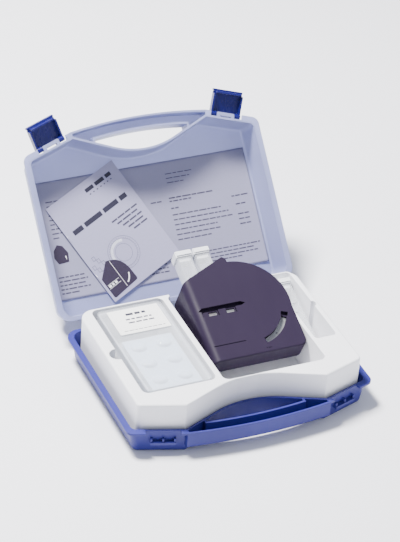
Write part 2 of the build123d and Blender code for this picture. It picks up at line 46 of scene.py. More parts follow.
TILT = math.radians(23.6)
SPARE_TILT = math.radians(19.0)


def row(x, y, z):
    return Vector((x / 1000.0, (y + YS) / 1000.0, z / 1000.0))


def lid_pt(x, y, z):
    """A point given in the closed lid's coordinates, where it is with the lid open."""
    dy, dz = y - 98.3, z - 28.15
    c, s = math.cos(-LID_ANGLE), math.sin(-LID_ANGLE)
    return row(x, 98.3 + dy * c - dz * s, 28.15 + dy * s + dz * c)


def cmp_pt(u, v, w):
    """A point in the comparator's own frame."""
    c, s = math.cos(TILT), math.sin(TILT)
    return row(-16.5 + u, -31.0 + v * c - w * s, 48.4 + v * s + w * c)


def spare_pt(u, v, w):
    c, s = math.cos(SPARE_TILT), math.sin(SPARE_TILT)
    return row(107.0 + u, -11.2 + v * c - w * s, 14.4 + v * s + w * c)


def book_pt(s, t, z):
    """Page coordinates of the booklet: s across, t down, z in the closed lid."""
    a, b = s - 47.5, t - 62.5
    r = math.radians(-25.5)
    x = -46.5 + a * math.cos(r) - b * math.sin(r)
    y = 2.0 + a * math.sin(r) + b * math.cos(r)
    return lid_pt(x, y, z)


# ------------------------------------------------------------------
# node helpers
# ------------------------------------------------------------------
class Mat:
    def __init__(self, name):
        self.m = bpy.data.materials.new(name)
        self.m.use_nodes = True
        self.t = self.m.node_tree
        self.t.nodes.clear()
        self.out = self.t.nodes.new("ShaderNodeOutputMaterial")
        self.p = self.t.nodes.new("ShaderNodeBsdfPrincipled")
        self.t.links.new(self.p.outputs[0], self.out.inputs[0])
        self.co = self.t.nodes.new("ShaderNodeTexCoord").outputs["Object"]

    def set(self, **kw):
        for k, v in kw.items():
            self.p.inputs[k.replace("_", " ")].default_value = v
        return self

    def noise(self, scale, detail=3.0, rough=0.55, vec=None, dist=0.0):
        n = self.t.nodes.new("ShaderNodeTexNoise")
        n.inputs["Scale"].default_value = scale
        n.inputs["Detail"].default_value = detail
        n.inputs["Roughness"].default_value = rough
        n.inputs["Distortion"].default_value = dist
        self.t.links.new(vec or self.co, n.inputs["Vector"])
        return n.outputs["Fac"]

    def voronoi(self, scale, vec=None, feature="F1"):
        n = self.t.nodes.new("ShaderNodeTexVoronoi")
        n.feature = feature
        n.inputs["Scale"].default_value = scale
        self.t.links.new(vec or self.co, n.inputs["Vector"])
        return n.outputs["Distance"]

    def ramp(self, fac, stops):
        n = self.t.nodes.new("ShaderNodeValToRGB")
        e = n.color_ramp.elements
        while len(e) < len(stops):
            e.new(0.5)
        for k, (pos, col) in enumerate(stops):
            e[k].position = pos
            e[k].color = tuple(col) + ((1.0,) if len(col) == 3 else ())
        self.t.links.new(fac, n.inputs["Fac"])
        return n.outputs["Color"]

    def rng(self, fac, a, b, lo=0.0, hi=1.0):
        n = self.t.nodes.new("ShaderNodeMapRange")
        n.inputs["From Min"].default_value = lo
        n.inputs["From Max"].default_value = hi
        n.inputs["To Min"].default_value = a
        n.inputs["To Max"].default_value = b
        self.t.links.new(fac, n.inputs["Value"])
        return n.outputs["Result"]

    def mapping(self, loc=(0, 0, 0), rot=(0, 0, 0), scale=(1, 1, 1), kind="TEXTURE"):
        n = self.t.nodes.new("ShaderNodeMapping")
        n.vector_type = kind
        n.inputs["Location"].default_value = loc
        n.inputs["Rotation"].default_value = rot
        n.inputs["Scale"].default_value = scale
        self.t.links.new(self.co, n.inputs["Vector"])
        return n.outputs["Vector"]

    def math(self, op, a, b):
        n = self.t.nodes.new("ShaderNodeMath")
        n.operation = op
        for k, v in enumerate((a, b)):
            if isinstance(v, (int, float)):
                n.inputs[k].default_value = v
            else:
                self.t.links.new(v, n.inputs[k])
        return n.outputs[0]

    def bump(self, layers, edge=0.0):
        """layers: (height, distance in metres, strength); edge: softened edge radius."""
        last = None
        if edge:
            b = self.t.nodes.new("ShaderNodeBevel")
            b.samples = 4
            b.inputs["Radius"].default_value = edge
            last = b.outputs[0]
        for h, d, s in layers:
            n = self.t.nodes.new("ShaderNodeBump")
            n.inputs["Strength"].default_value = s
            n.inputs["Distance"].default_value = d
            self.t.links.new(h, n.inputs["Height"])
            if last is not None:
                self.t.links.new(last, n.inputs["Normal"])
            last = n.outputs[0]
        self.t.links.new(last, self.p.inputs["Normal"])
        return self

    def link(self, out, name):
        self.t.links.new(out, self.p.inputs[name])
        return self


def tint(c, k):
    return tuple(max(0.0, min(1.0, x * k)) for x in c)


def moulded(name, col, rough=0.42, grain=900.0, depth=0.00006, edge=0.0005, vary=0.08, spec=0.5, scuff=0.12):
    """Injection-moulded plastic: fine spark grain, faint flow shading, handling scuffs."""
    m = Mat(name)
    m.set(IOR=1.49)
    m.p.inputs["Specular IOR Level"].default_value = spec
    flow = m.noise(9.0, 2.0, 0.5)
    m.link(m.ramp(flow, [(0.3, tint(col, 1 - vary)), (0.7, tint(col, 1 + vary))]), "Base Color")
    sc = m.mapping(scale=(1 / 160.0, 1 / 18.0, 1 / 60.0))
    scr = m.noise(1.0, 6.0, 0.7, sc, 0.6)
    r = m.rng(scr, rough - scuff * 0.5, rough + scuff, 0.35, 0.75)
    m.link(r, "Roughness")
    m.bump([(m.noise(grain, 2.0, 0.6), depth, 0.35), (m.noise(14.0, 1.0), 0.0003, 0.12)], edge)
    return m.m


def clear(name, col, a0, a1, rough=0.06, waves=True):
    """Thin clear plastic: nearly see-through face on, more solid at a glancing angle."""
    m = Mat(name)
    m.set(IOR=1.5, Roughness=rough)
    m.p.inputs["Base Color"].default_value = tuple(col) + (1.0,)
    lw = m.t.nodes.new("ShaderNodeLayerWeight")
    lw.inputs["Blend"].default_value = 0.35
    n = m.noise(60.0, 2.0)
    fac = m.math("ADD", lw.outputs["Facing"], m.rng(n, -0.08, 0.08))
    m.link(m.rng(fac, a0, a1), "Alpha")
    if waves:
        m.bump([(m.noise(55.0, 1.5), 0.0006, 0.10)], 0.0003)
    return m.m


MATS = {}
MATS["blue"] = moulded("blue_shell_mat", (0.026, 0.027, 0.19), 0.40, 1100.0, 0.00005, 0.0006, 0.08, 0.28)
MATS["white"] = moulded("white_insert_mat", (0.86, 0.86, 0.90), 0.36, 700.0, 0.00003, 0.0007, 0.025, 0.45, 0.10)
MATS["navy"] = moulded("navy_latch_mat", (0.005, 0.005, 0.105), 0.26, 900.0, 0.00004, 0.0004, 0.10)
MATS["purple"] = moulded("comparator_mat", (0.0165, 0.010, 0.027), 0.52, 1500.0, 0.00016, 0.0006, 0.07, 0.16, 0.08)
MATS["hub"] = moulded("hub_mat", (0.02, 0.02, 0.03), 0.3)
MATS["opal"] = moulded("opal_mat", (0.85, 0.85, 0.84), 0.5)


def frosted(name):
    m = Mat(name)
    m.set(IOR=1.49, Roughness=0.42)
    m.p.inputs["Transmission Weight"].default_value = 0.42
    m.p.inputs["Specular IOR Level"].default_value = 0.5
    flow = m.noise(7.0, 3.0, 0.6)
    m.link(m.ramp(flow, [(0.3, (0.31, 0.33, 0.56)), (0.7, (0.39, 0.42, 0.70))]), "Base Color")
    m.bump([(m.noise(800.0, 2.0), 0.00006, 0.3), (m.noise(16.0, 1.0), 0.0004, 0.15)], 0.0006)
    return m.m


MATS["frost"] = frosted("frosted_lid_mat")


def steel(name, col=(0.62, 0.62, 0.64)):
    m = Mat(name)
    m.set(Metallic=1.0)
    g = m.mapping(scale=(0.02, 0.0004, 0.0004))
    n = m.noise(1.0, 4.0, 0.6, g)
    m.link(m.ramp(n, [(0.3, tint(col, 0.8)), (0.7, tint(col, 1.1))]), "Base Color")
    m.link(m.rng(n, 0.22, 0.42), "Roughness")
    m.bump([(n, 0.00005, 0.2)])
    return m.m


MATS["steel"] = steel("steel_mat")


def glassy(name, col=(0.95, 0.97, 1.0), rough=0.03):
    m = Mat(name)
    m.set(IOR=1.49)
    m.p.inputs["Transmission Weight"].default_value = 1.0
    m.p.inputs["Base Color"].default_value = tuple(col) + (1.0,)
    m.link(m.rng(m.noise(90.0, 3.0), rough, rough + 0.05), "Roughness")
    m.bump([(m.noise(70.0, 1.0), 0.0003, 0.06)], 0.0003)
    return m.m


MATS["cell"] = clear("cell_mat", (0.90, 0.92, 0.97), 0.14, 0.92, 0.06)
MATS["lens"] = clear("lens_mat", (0.9, 0.92, 0.96), 0.06, 0.5, 0.05)
MATS["box"] = clear("box_mat", (0.86, 0.89, 0.97), 0.02, 0.78, 0.04)


def cap_material(name):
    m = Mat(name)
    m.set(IOR=1.49, Roughness=0.30)
    m.p.inputs["Transmission Weight"].default_value = 0.12
    m.link(m.ramp(m.noise(40.0, 2.0), [(0.3, (0.84, 0.86, 0.92)), (0.7, (0.94, 0.95, 0.98))]), "Base Color")
    m.bump([(m.noise(600.0, 2.0), 0.00005, 0.3)], 0.0006)
    return m.m


MATS["cap"] = cap_material("cap_mat")


def paper(name, col, rough=0.75, fibre=1.0):
    m = Mat(name)
    m.set(Roughness=rough)
    m.p.inputs["Specular IOR Level"].default_value = 0.3
    a = m.noise(450.0, 5.0, 0.7)
    m.link(m.ramp(a, [(0.3, tint(col, 0.97)), (0.7, tint(col, 1.02))]), "Base Color")
    m.bump([(a, 0.00004 * fibre, 0.4), (m.noise(18.0, 2.0), 0.0006, 0.15)])
    return m.m


MATS["leaf"] = paper("leaflet_mat", (0.245, 0.24, 0.345))
MATS["book"] = paper("booklet_mat", (0.315, 0.305, 0.445), 0.5, 0.5)
MATS["card"] = paper("card_mat", (0.90, 0.90, 0.89), 0.45, 0.5)
MATS["ring"] = paper("scale_ring_mat", (0.92, 0.93, 0.95), 0.4, 0.3)


def ink(name, col):
    m = Mat(name)
    m.set(Roughness=0.55)
    n = m.noise(900.0, 3.0, 0.6)
    m.link(m.ramp(n, [(0.3, tint(col, 0.8)), (0.7, tint(col, 1.25))]), "Base Color")
    return m.m


MATS["ink"] = ink("ink_mat", (0.014, 0.012, 0.03))
MATS["ink_grey"] = ink("ink_grey_mat", (0.05, 0.045, 0.08))
MATS["ink_pale"] = ink("ink_pale_mat", (0.52, 0.52, 0.63))
MATS["ink_violet"] = ink("ink_violet_mat", (0.018, 0.010, 0.030))
MATS["ink_white"] = ink("ink_white_mat", (0.80, 0.80, 0.86))


def disc_material(name):
    m = Mat(name)
    m.set(IOR=1.5, Roughness=0.2, Alpha=0.86)
    m.link(m.ramp(m.noise(30.0, 2.0), [(0.3, (0.50, 0.52, 0.57)), (0.7, (0.62, 0.64, 0.68))]), "Base Color")
    m.bump([(m.noise(400.0, 2.0), 0.00004, 0.2)], 0.0003)
    return m.m


MATS["disc"] = disc_material("disc_mat")


def field_material(name):
    """Nine colour standards round the disc, from pale pink to deep rose."""
    m = Mat(name)
    m.set(IOR=1.5, Roughness=0.18)
    c = cmp_pt(50.0, 58.0, -12.5)
    v = m.mapping(loc=tuple(c), rot=(TILT, 0, 0))
    g = m.t.nodes.new("ShaderNodeTexGradient")
    g.gradient_type = "RADIAL"
    m.t.links.new(v, g.inputs["Vector"])
    m.link(m.ramp(g.outputs["Fac"], [(0.0, (0.80, 0.15, 0.30)), (0.25, (0.80, 0.55, 0.60)), (0.49, (0.40, 0.05, 0.17)),
                                     (0.51, (0.86, 0.74, 0.74)), (0.75, (0.55, 0.10, 0.22)), (1.0, (0.76, 0.13, 0.28))]), "Base Color")
    m.bump([(m.noise(300.0, 2.0), 0.00004, 0.2)], 0.0003)
    return m.m


MATS["fields"] = field_material("tinted_fields_mat")


def foil(name):
    m = Mat(name)
    m.set(IOR=1.5)
    m.p.inputs["Coat Weight"].default_value = 0.8
    m.p.inputs["Coat Roughness"].default_value = 0.08
    m.link(m.ramp(m.noise(80.0, 4.0), [(0.3, (0.16, 0.22, 0.32)), (0.7, (0.62, 0.70, 0.82))]), "Base Color")
    m.link(m.rng(m.noise(150.0, 3.0), 0.15, 0.45), "Roughness")
    m.bump([(m.noise(260.0, 3.0, 0.6), 0.0004, 0.35), (m.voronoi(1400.0), 0.00005, 0.3)])
    return m.m


MATS["foil"] = foil("blister_foil_mat")
MATS["blister"] = clear("blister_clear_mat", (0.50, 0.61, 0.76), 0.34, 1.6, 0.04)


def chalk(name):
    m = Mat(name)
    m.set(Roughness=0.8)
    n = m.voronoi(900.0)
    m.link(m.ramp(n, [(0.0, (0.78, 0.79, 0.80)), (0.6, (0.90, 0.90, 0.90))]), "Base Color")
    m.bump([(m.noise(1200.0, 4.0), 0.0001, 0.5)])
    return m.m


MATS["tablet"] = chalk("tablet_mat")

# ------------------------------------------------------------------
# materials on the CAD nodes
# ------------------------------------------------------------------
USE = {
    "lower_shell": "blue", "hinge_pins": "steel", "insert_tray": "white", "lid_shell": "frost",
    "latch_left": "navy", "latch_right": "navy", "latch_pin_left": "steel", "latch_pin_right": "steel",
    "comparator_front_shell": "purple", "comparator_back_shell": "purple", "comparator_screws": "steel",
    "disc_axle": "steel", "colour_disc": "disc", "colour_fields": "fields", "disc_hub": "hub",
    "view_lens": "lens", "scale_lens": "lens", "diffuser_plate": "opal",
    "cell_left": "cell", "cell_right": "cell", "spare_cell": "cell",
    "cell_left_cap": "cap", "cell_right_cap": "cap", "spare_cell_cap": "cap",
    "tablet_box_base": "box", "tablet_box_lid": "box", "tablet_box_card": "card",
    "blister_strips": "foil", "tablets": "tablet", "leaflet": "leaf", "booklet": "book",
}
for name, key in USE.items():
    o = N[name]
    for s in o.material_slots:
        s.material = MATS[key]

# ------------------------------------------------------------------
# mesh helpers
# ------------------------------------------------------------------
def make(name, verts, faces, mat, body, smooth=False):
    me = bpy.data.meshes.new(name)
    me.from_pydata([tuple(v) for v in verts], [], faces)
    bm = bmesh.new()
    bm.from_mesh(me)
    bmesh.ops.recalc_face_normals(bm, faces=bm.faces)
    bm.to_mesh(me)
    bm.free()
    if smooth:
        for p in me.polygons:
            p.use_smooth = True
    me.materials.append(mat)
    o = bpy.data.objects.new(name, me)
    bpy.context.scene.collection.objects.link(o)
    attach(o, body)
    return o


class Soup:
    """Collects closed pieces of mesh that share one object."""

    def __init__(self):
        self.v, self.f = [], []

    def add(self, verts, faces):
        k = len(self.v)
        self.v += verts
        self.f += [tuple(i + k for i in f) for f in faces]

    def prism(self, lower, upper):
        """Closed prism between two outlines of the same count."""
        n = len(lower)
        faces = [tuple(range(n - 1, -1, -1)), tuple(range(n, 2 * n))]
        for i in range(n):
            j = (i + 1) % n
            faces.append((i, j, n + j, n + i))
        self.add(list(lower) + list(upper), faces)

    def sheet(self, nu, nv, top, bottom):
        """Closed sheet: top(i, j) and bottom(i, j) give its two faces."""
        W = nu + 1
        verts = [top(i, j) for j in range(nv + 1) for i in range(W)]
        K = len(verts)
        verts += [bottom(i, j) for j in range(nv + 1) for i in range(W)]
        f = []
        for j in range(nv):
            for i in range(nu):
                a = j * W + i
                f.append((a, a + 1, a + W + 1, a + W))
                f.append((K + a, K + a + W, K + a + W + 1, K + a + 1))
        for i in range(nu):
            f.append((i, K + i, K + i + 1, i + 1))
            a = nv * W + i
            f.append((a, a + 1, K + a + 1, K + a))
        for j in range(nv):
            a = j * W
            f.append((a, a + W, K + a + W, K + a))
            a = j * W + nu
            f.append((a, K + a, K + a + W, a + W))
        self.add(verts, f)


# print on a surface: rectangles in page coordinates, laid on point(s, t, lift)
def rect(soup, point, s0, t0, s1, t1, lift=0.05, thick=0.04, step=6.0, slant=0.0):
    n = max(1, int(abs(s1 - s0) / step) + 1)

    def top(i, j):
        s = s0 + (s1 - s0) * i / n
        return point(s + slant * (t1 - (t0 + (t1 - t0) * j)), t0 + (t1 - t0) * j, lift + thick)

    def bot(i, j):
        s = s0 + (s1 - s0) * i / n
        return point(s + slant * (t1 - (t0 + (t1 - t0) * j)), t0 + (t1 - t0) * j, lift)

    soup.sheet(n, 1, top, bot)


def words(soup, point, s0, t, length, h, rng, wmin=3.0, wmax=9.0, gap=1.1, **kw):
    """A line of plain dashes standing for print."""
    s = s0
    while s < s0 + length - wmin * 0.6:
        w = min(rng.uniform(wmin, wmax), s0 + length - s)
        rect(soup, point, s, t, s + w, t + h, **kw)
        s += w + gap


def bars(soup, point, s0, t, length, h, rng, wmin=10.0, wmax=20.0, gap=2.6, **kw):
    """A heading as thick plain bars."""
    words(soup, point, s0, t + h * 0.16, length, h * 0.68, rng, wmin, wmax, gap, **kw)


def ring_band(soup, point, cs, ct, r0, r1, a0=0.0, a1=360.0, n=72, lift=0.05, thick=0.04):
    """An annulus, or a part of one, as a closed band."""
    whole = abs(a1 - a0) >= 359.9
    pts = []
    m = n if whole else n + 1
    for k in range(m):
        a = math.radians(a0 + (a1 - a0) * k / n)
        for r, l in ((r0, lift), (r1, lift), (r1, lift + thick), (r0, lift + thick)):
            pts.append(point(cs + r * math.cos(a), ct + r * math.sin(a), l))
    f = []
    for k in range(n):
        a, b = 4 * k, 4 * ((k + 1) % m)
        for q in range(4):
            f.append((a + q, a + (q + 1) % 4, b + (q + 1) % 4, b + q))
    if not whole:
        f.append((0, 3, 2, 1))
        e = 4 * n
        f.append((e, e + 1, e + 2, e + 3))
    soup.add(pts, f)


def poly(soup, point, pts, lift=0.05, thick=0.04):
    soup.prism([point(s, t, lift) for s, t in pts], [point(s, t, lift + thick) for s, t in pts])


# ------------------------------------------------------------------
# leaflet: one large sheet that curls up a little at the lid's walls
# ------------------------------------------------------------------
LX0, LX1, LY0, LY1 = -122.5, 124.5, -64.0, 67.0


def leaf_z(x, y):
    z = 59.72
    z -= 0.22 * math.sin(x * 0.031 + 0.6) * math.sin(y * 0.043 + 1.0)
    e = max(0.0, (x - 102.0) / 22.5)
    z -= 2.0 * e * e * (0.7 + 0.3 * math.cos(y * 0.03))
    e = max(0.0, (-104.0 - x) / 18.5)
    z -= 1.0 * e * e
    z -= 0.10 * math.exp(-((x - 2.0) / 1.6) ** 2)
    return z


def leaf_pt(s, t, lift):
    x, y = LX0 + s, LY0 + t
    return lid_pt(x, y, leaf_z(x, y) - 0.1 - lift)


NU, NV = 124, 44
sp = Soup()
sp.sheet(NU, NV,
         lambda i, j: lid_pt(LX0 + (LX1 - LX0) * i / NU, LY0 + (LY1 - LY0) * j / NV, leaf_z(LX0 + (LX1 - LX0) * i / NU, LY0 + (LY1 - LY0) * j / NV) - 0.1),
         lambda i, j: lid_pt(LX0 + (LX1 - LX0) * i / NU, LY0 + (LY1 - LY0) * j / NV, leaf_z(LX0 + (LX1 - LX0) * i / NU, LY0 + (LY1 - LY0) * j / NV) + 0.1))
leaf = make("leaflet_sheet", sp.v, sp.f, MATS["leaf"], "lid", True)
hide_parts("leaflet")

rng = random.Random(7)
sp = Soup()
P = dict(point=leaf_pt, rng=rng)
words(sp, s0=148, t=41.0, length=56, h=1.5, wmin=5, wmax=13, **P)
words(sp, s0=148, t=44.6, length=26, h=1.5, **P)
words(sp, s0=221, t=51.0, length=20, h=1.4, **P)
words(sp, s0=148, t=52.5, length=9, h=1.6, **P)
for k, (ln, nn) in enumerate(((58, 1), (66, 0), (70, 1), (50, 1), (52, 1), (40, 0))):
    tt = 60.0 + 5.6 * k
    words(sp, s0=148, t=tt, length=ln, h=1.35, **P)
    if nn:
        words(sp, s0=224, t=tt + 0.5, length=13, h=1.4, wmin=5, wmax=7, **P)
for k in range(4):
    words(sp, s0=176, t=106.0 + 4.0 * k, length=(66, 60, 62, 44)[k], h=1.3, **P)
words(sp, s0=126, t=43.0, length=13, h=1.4, **P)
for k in range(5):
    words(sp, s0=96 + k * 2.0, t=103.0 + 4.2 * k, length=34 - 2 * k, h=1.4, **P)
for k in range(5):
    words(sp, s0=4.0, t=105.0 + 4.4 * k, length=(30, 33, 32, 34, 20)[k], h=1.5, **P)
for k in range(9):
    words(sp, s0=8.0, t=22.0 + 5.0 * k, length=(44, 40, 45, 38, 30, 22, 16, 12, 9)[k], h=1.3, **P)
for k in range(3):
    words(sp, s0=150, t=14.0 + 5.0 * k, length=(34, 28, 20)[k], h=0.9, wmin=4, wmax=9, **P)
o = make("leaflet_print", sp.v, sp.f, MATS["ink_grey"], "lid")
# a small dark picture at its left edge, and a fold line down its middle
sp = Soup()
poly(sp, leaf_pt, [(5, 76), (10, 70), (16, 72), (21, 80), (20, 90), (8, 91), (4, 84)])
make("leaflet_picture", sp.v, sp.f, MATS["ink_violet"], "lid")
sp = Soup()
poly(sp, leaf_pt, [(8, 80), (11, 79), (11.5, 82), (8.5, 83)], 0.12)
poly(sp, leaf_pt, [(14, 84), (18, 83), (18, 87), (14, 88)], 0.12)
make("leaflet_picture_marks", sp.v, sp.f, MATS["ink_white"], "lid")

# ------------------------------------------------------------------
# booklet: folded sheets, stapled, with a plain printed cover
# ------------------------------------------------------------------
def book_lift(s, t):
    """How far the cover stands off its pages: the free corners rise a little."""
    a = max(0.0, (s - 55.0) / 40.0)
    b = max(0.0, (t - 85.0) / 40.0)
    return 0.30 * a * a + 0.22 * b * b * a + 0.05 * math.sin(s * 0.06) * math.sin(t * 0.05)


def rounded(i, n, j, m, w, h, r=1.6):
    s, t = w * i / n, h * j / m
    return s, t


sp = Soup()
layers = 7
for k in range(layers):
    z = 58.95 - k * 0.205
    off = (rng.uniform(-0.25, 0.25), rng.uniform(-0.3, 0.3))
    last = k == layers - 1
    frac = k / (layers - 1.0)
    inset = 0.35 if not last else 0.0

    def face(i, j, dz, z=z, off=off, frac=frac, inset=inset):
        s = inset + (95.0 - 2 * inset) * i / 24
        t = inset + (125.0 - 2 * inset) * j / 30
        return book_pt(s + off[0] * (1 if inset else 0), t + off[1] * (1 if inset else 0), z - frac * book_lift(s, t) + dz)

    sp.sheet(24, 30, lambda i, j: face(i, j, -0.08), lambda i, j: face(i, j, 0.08))
book = make("booklet_pages", sp.v, sp.f, MATS["book"], "booklet", False)
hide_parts("booklet")
ZC = 58.95 - (layers - 1) * 0.205 - 0.08


def cover_pt(s, t, lift):
    return book_pt(s, t, ZC - book_lift(s, t) - lift)


sp = Soup()
bars(sp, cover_pt, 49.0, 7.0, 36.0, 6.4, rng, 9.0, 15.0)
bars(sp, cover_pt, 9.0, 35.0, 76.0, 8.2, rng, 13.0, 24.0, 3.2)
make("booklet_title", sp.v, sp.f, MATS["ink"], "booklet")
sp = Soup()
words(sp, cover_pt, 51.0, 15.2, 34.0, 1.3, rng, 1.4, 2.0, 3.2)
for k in range(5):
    words(sp, cover_pt, 52.0 + 4.2 * k, 53.6 + 4.9 * k, (36, 30, 27, 22, 19)[k], 1.8, rng, 6, 12)
for r, w in ((18.3, 0.28), (15.4, 0.28), (9.6, 0.28)):
    ring_band(sp, cover_pt, 42.5, 88.0, r, r + w)
for k in range(40):
    a = math.radians(k * 9.0)
    r = 16.4 + 0.3 * (k % 2)
    x, y = 42.5 + r * math.cos(a), 88.0 + r * math.sin(a)
    rect(sp, cover_pt, x - 0.25, y - 0.25, x + 0.25, y + 0.35, lift=0.06)
for k, (x, y) in enumerate(((8.0, 71.5), (2.8, 80.0))):
    for q in range(3):
        a = (x + q * 3.4, y + q * 4.9)
        for s0, t0, s1, t1 in ((0, 0, 3.6, 0.35), (0, 4.4, 3.6, 4.75), (0, 0, 0.35, 4.4), (3.3, 0, 3.65, 4.4)):
            rect(sp, cover_pt, a[0] + s0, a[1] + t0, a[0] + s1, a[1] + t1)
make("booklet_small_print", sp.v, sp.f, MATS["ink_grey"], "booklet")
sp = Soup()
ring_band(sp, cover_pt, 42.5, 88.0, 12.0, 15.2, 130, 300, 40, 0.02)
make("booklet_ring_tone", sp.v, sp.f, MATS["ink_pale"], "booklet")
sp = Soup()
outline = [(3.0, 97.0), (19.0, 83.6), (22.0, 84.6), (25.0, 86.0), (29.6, 88.6), (33.4, 93.0), (36.0, 98.8), (37.2, 105.0), (37.6, 118.0), (36.6, 119.6), (4.6, 121.8), (3.0, 120.4)]
poly(sp, cover_pt, outline, 0.10)
make("booklet_drawing", sp.v, sp.f, MATS["ink_violet"], "booklet")
sp = Soup()
rect(sp, cover_pt, 22.4, 86.0, 22.8, 119.0, lift=0.17)
rect(sp, cover_pt, 5.0, 107.0, 8.2, 109.6, lift=0.17)
rect(sp, cover_pt, 9.6, 107.0, 12.0, 109.6, lift=0.17)
rect(sp, cover_pt, 13.6, 107.0, 16.4, 109.6, lift=0.17)
rect(sp, cover_pt, 4.4, 110.4, 20.0, 110.8, lift=0.17)
rect(sp, cover_pt, 4.4, 106.0, 20.0, 106.4, lift=0.17)
ring_band(sp, cover_pt, 19.0, 103.0, 14.2, 15.6, 20, 62, 16, 0.17)
make("booklet_drawing_marks", sp.v, sp.f, MATS["ink_white"], "booklet")
# two staples in the fold
sp = Soup()
for t in (36.0, 89.0):
    for k in range(1):
        n = 10
        for seg in range(8):
            a0, a1 = math.pi * 2 * seg / 8, math.pi * 2 * (seg + 1) / 8
        lo = [cover_pt(0.9 + 0.16 * math.cos(a), t, 0.16 + 0.16 * math.sin(a)) for a in [2 * math.pi * q / 8 for q in range(8)]]
        hi = [cover_pt(0.9 + 0.16 * math.cos(a), t + 11.0, 0.16 + 0.16 * math.sin(a)) for a in [2 * math.pi * q / 8 for q in range(8)]]
        sp.prism(lo, hi)
make("booklet_staples", sp.v, sp.f, MATS["steel"], "booklet", True)

# ------------------------------------------------------------------
# tablet box: printed card, strips with domes and crimped edges, tablets
# ------------------------------------------------------------------
def card_pt(s, t, lift):
    return row(-97.0 + s, 76.0 - t, 54.68 + lift)


def corner_outline(w, h, r, n=5, x0=0.0, y0=0.0):
    pts = []
    for cx, cy, a in ((w - r, r, -90), (w - r, h - r, 0), (r, h - r, 90), (r, r, 180)):
        for k in range(n + 1):
            q = math.radians(a + 90.0 * k / n)
            pts.append((x0 + cx + r * math.cos(q), y0 + cy + r * math.sin(q)))
    return pts


sp = Soup()
poly(sp, card_pt, corner_outline(57.0, 42.0, 1.2), 0.0, 0.22)
card = make("label_card", sp.v, sp.f, MATS["card"], "tablet_lid")
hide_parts("tablet_box_card")
sp = Soup()
bars(sp, card_pt, 18.0, 7.0, 22.0, 5.4, rng, 6.0, 10.0, 1.8, lift=0.23)
make("label_heading", sp.v, sp.f, MATS["ink"], "tablet_lid")
sp = Soup()
words(sp, card_pt, 15.0, 17.0, 29.0, 2.2, rng, 4, 8, 1.4, lift=0.23)
words(sp, card_pt, 16.0, 23.0, 29.0, 2.2, rng, 4, 8, 1.4, lift=0.23)
words(sp, card_pt, 6.0, 36.5, 46.0, 0.9, rng, 3, 6, 1.0, lift=0.23)
make("label_print", sp.v, sp.f, MATS["ink_grey"], "tablet_lid")

SP0, SP1, SQ0, SQ1 = -99.0, -42.0, -57.0, 30.0
CENTRES = [(SP0 + 14.5 + i * 28.0, SQ0 + 15.0 + j * 28.5) for i in range(2) for j in range(3)]


def dome(x, y, h=2.6, rx=8.4, ry=7.4):
    z = 0.0
    for cx, cy in CENTRES:
        q = ((x - cx) / rx) ** 2 + ((y - cy) / ry) ** 2
        if q < 1.0:
            z = max(z, h * (1.0 - q ** 2) ** 0.75)
    return z


def strip_mesh(z, top, seed, nx=76, ny=116, squash_=1.0):
    r = random.Random(seed)
    ph = [r.uniform(0, 6.28) for _ in range(4)]
    ox, oy = r.uniform(-0.8, 0.8), r.uniform(-0.8, 0.8)

    def xy(i, j):
        x = SP0 + 0.8 + (SP1 - SP0 - 1.6) * i / nx
        y = SQ0 + 0.8 + (SQ1 - SQ0 - 1.6) * j / ny
        # crimped long edges
        if i == 0:
            x += 0.55 * (1 if j % 4 < 2 else -1) * (1 if top else 0.6)
        if i == nx:
            x += 0.35 * (1 if j % 4 < 2 else -1) * (1 if top else 0.6)
        return x, y

    def wave(x, y):
        return 0.12 * math.sin(x * 0.21 + ph[0]) + 0.12 * math.sin(y * 0.17 + ph[1]) + 0.05 * math.sin((x + y) * 0.6 + ph[2])

    def up(i, j):
        x, y = xy(i, j)
        return row(x + ox * (0 if top else 1) * 0.4, y + oy * (0 if top else 1) * 0.4, z + wave(x, y) + dome(x, y) * squash_ + 0.12)

    def dn(i, j):
        x, y = xy(i, j)
        return row(x + ox * (0 if top else 1) * 0.4, y + oy * (0 if top else 1) * 0.4, z + wave(x, y) + max(0.0, dome(x, y) * squash_ - 0.12) - 0.12)

    s = Soup()
    s.sheet(nx, ny, up, dn)
    return s


def backing_mesh(z, seed):
    r = random.Random(seed)
    ph = [r.uniform(0, 6.28) for _ in range(4)]
    s = Soup()
    nx, ny = 38, 58

    def p(i, j, d):
        x = SP0 + 0.8 + (SP1 - SP0 - 1.6) * i / nx
        y = SQ0 + 0.8 + (SQ1 - SQ0 - 1.6) * j / ny
        return row(x, y, z + 0.12 * math.sin(x * 0.21 + ph[0]) + 0.12 * math.sin(y * 0.17 + ph[1]) + d)

    s.sheet(nx, ny, lambda i, j: p(i, j, 0.05), lambda i, j: p(i, j, -0.05))
    return s


s = strip_mesh(49.45, True, 3, 96, 146)
top_strip = make("blister_top", s.v, s.f, MATS["blister"], "tablet_box", True)
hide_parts("blister_strips")
s = backing_mesh(48.95, 3)
make("blister_top_foil", s.v, s.f, MATS["foil"], "tablet_box", True)
for k in range(9):
    s = strip_mesh(45.2 - k * 3.35, False, 10 + k, 57, 87, 0.9)
    make("blister_strip_%d" % (k + 1), s.v, s.f, MATS["foil"], "tablet_box", True)


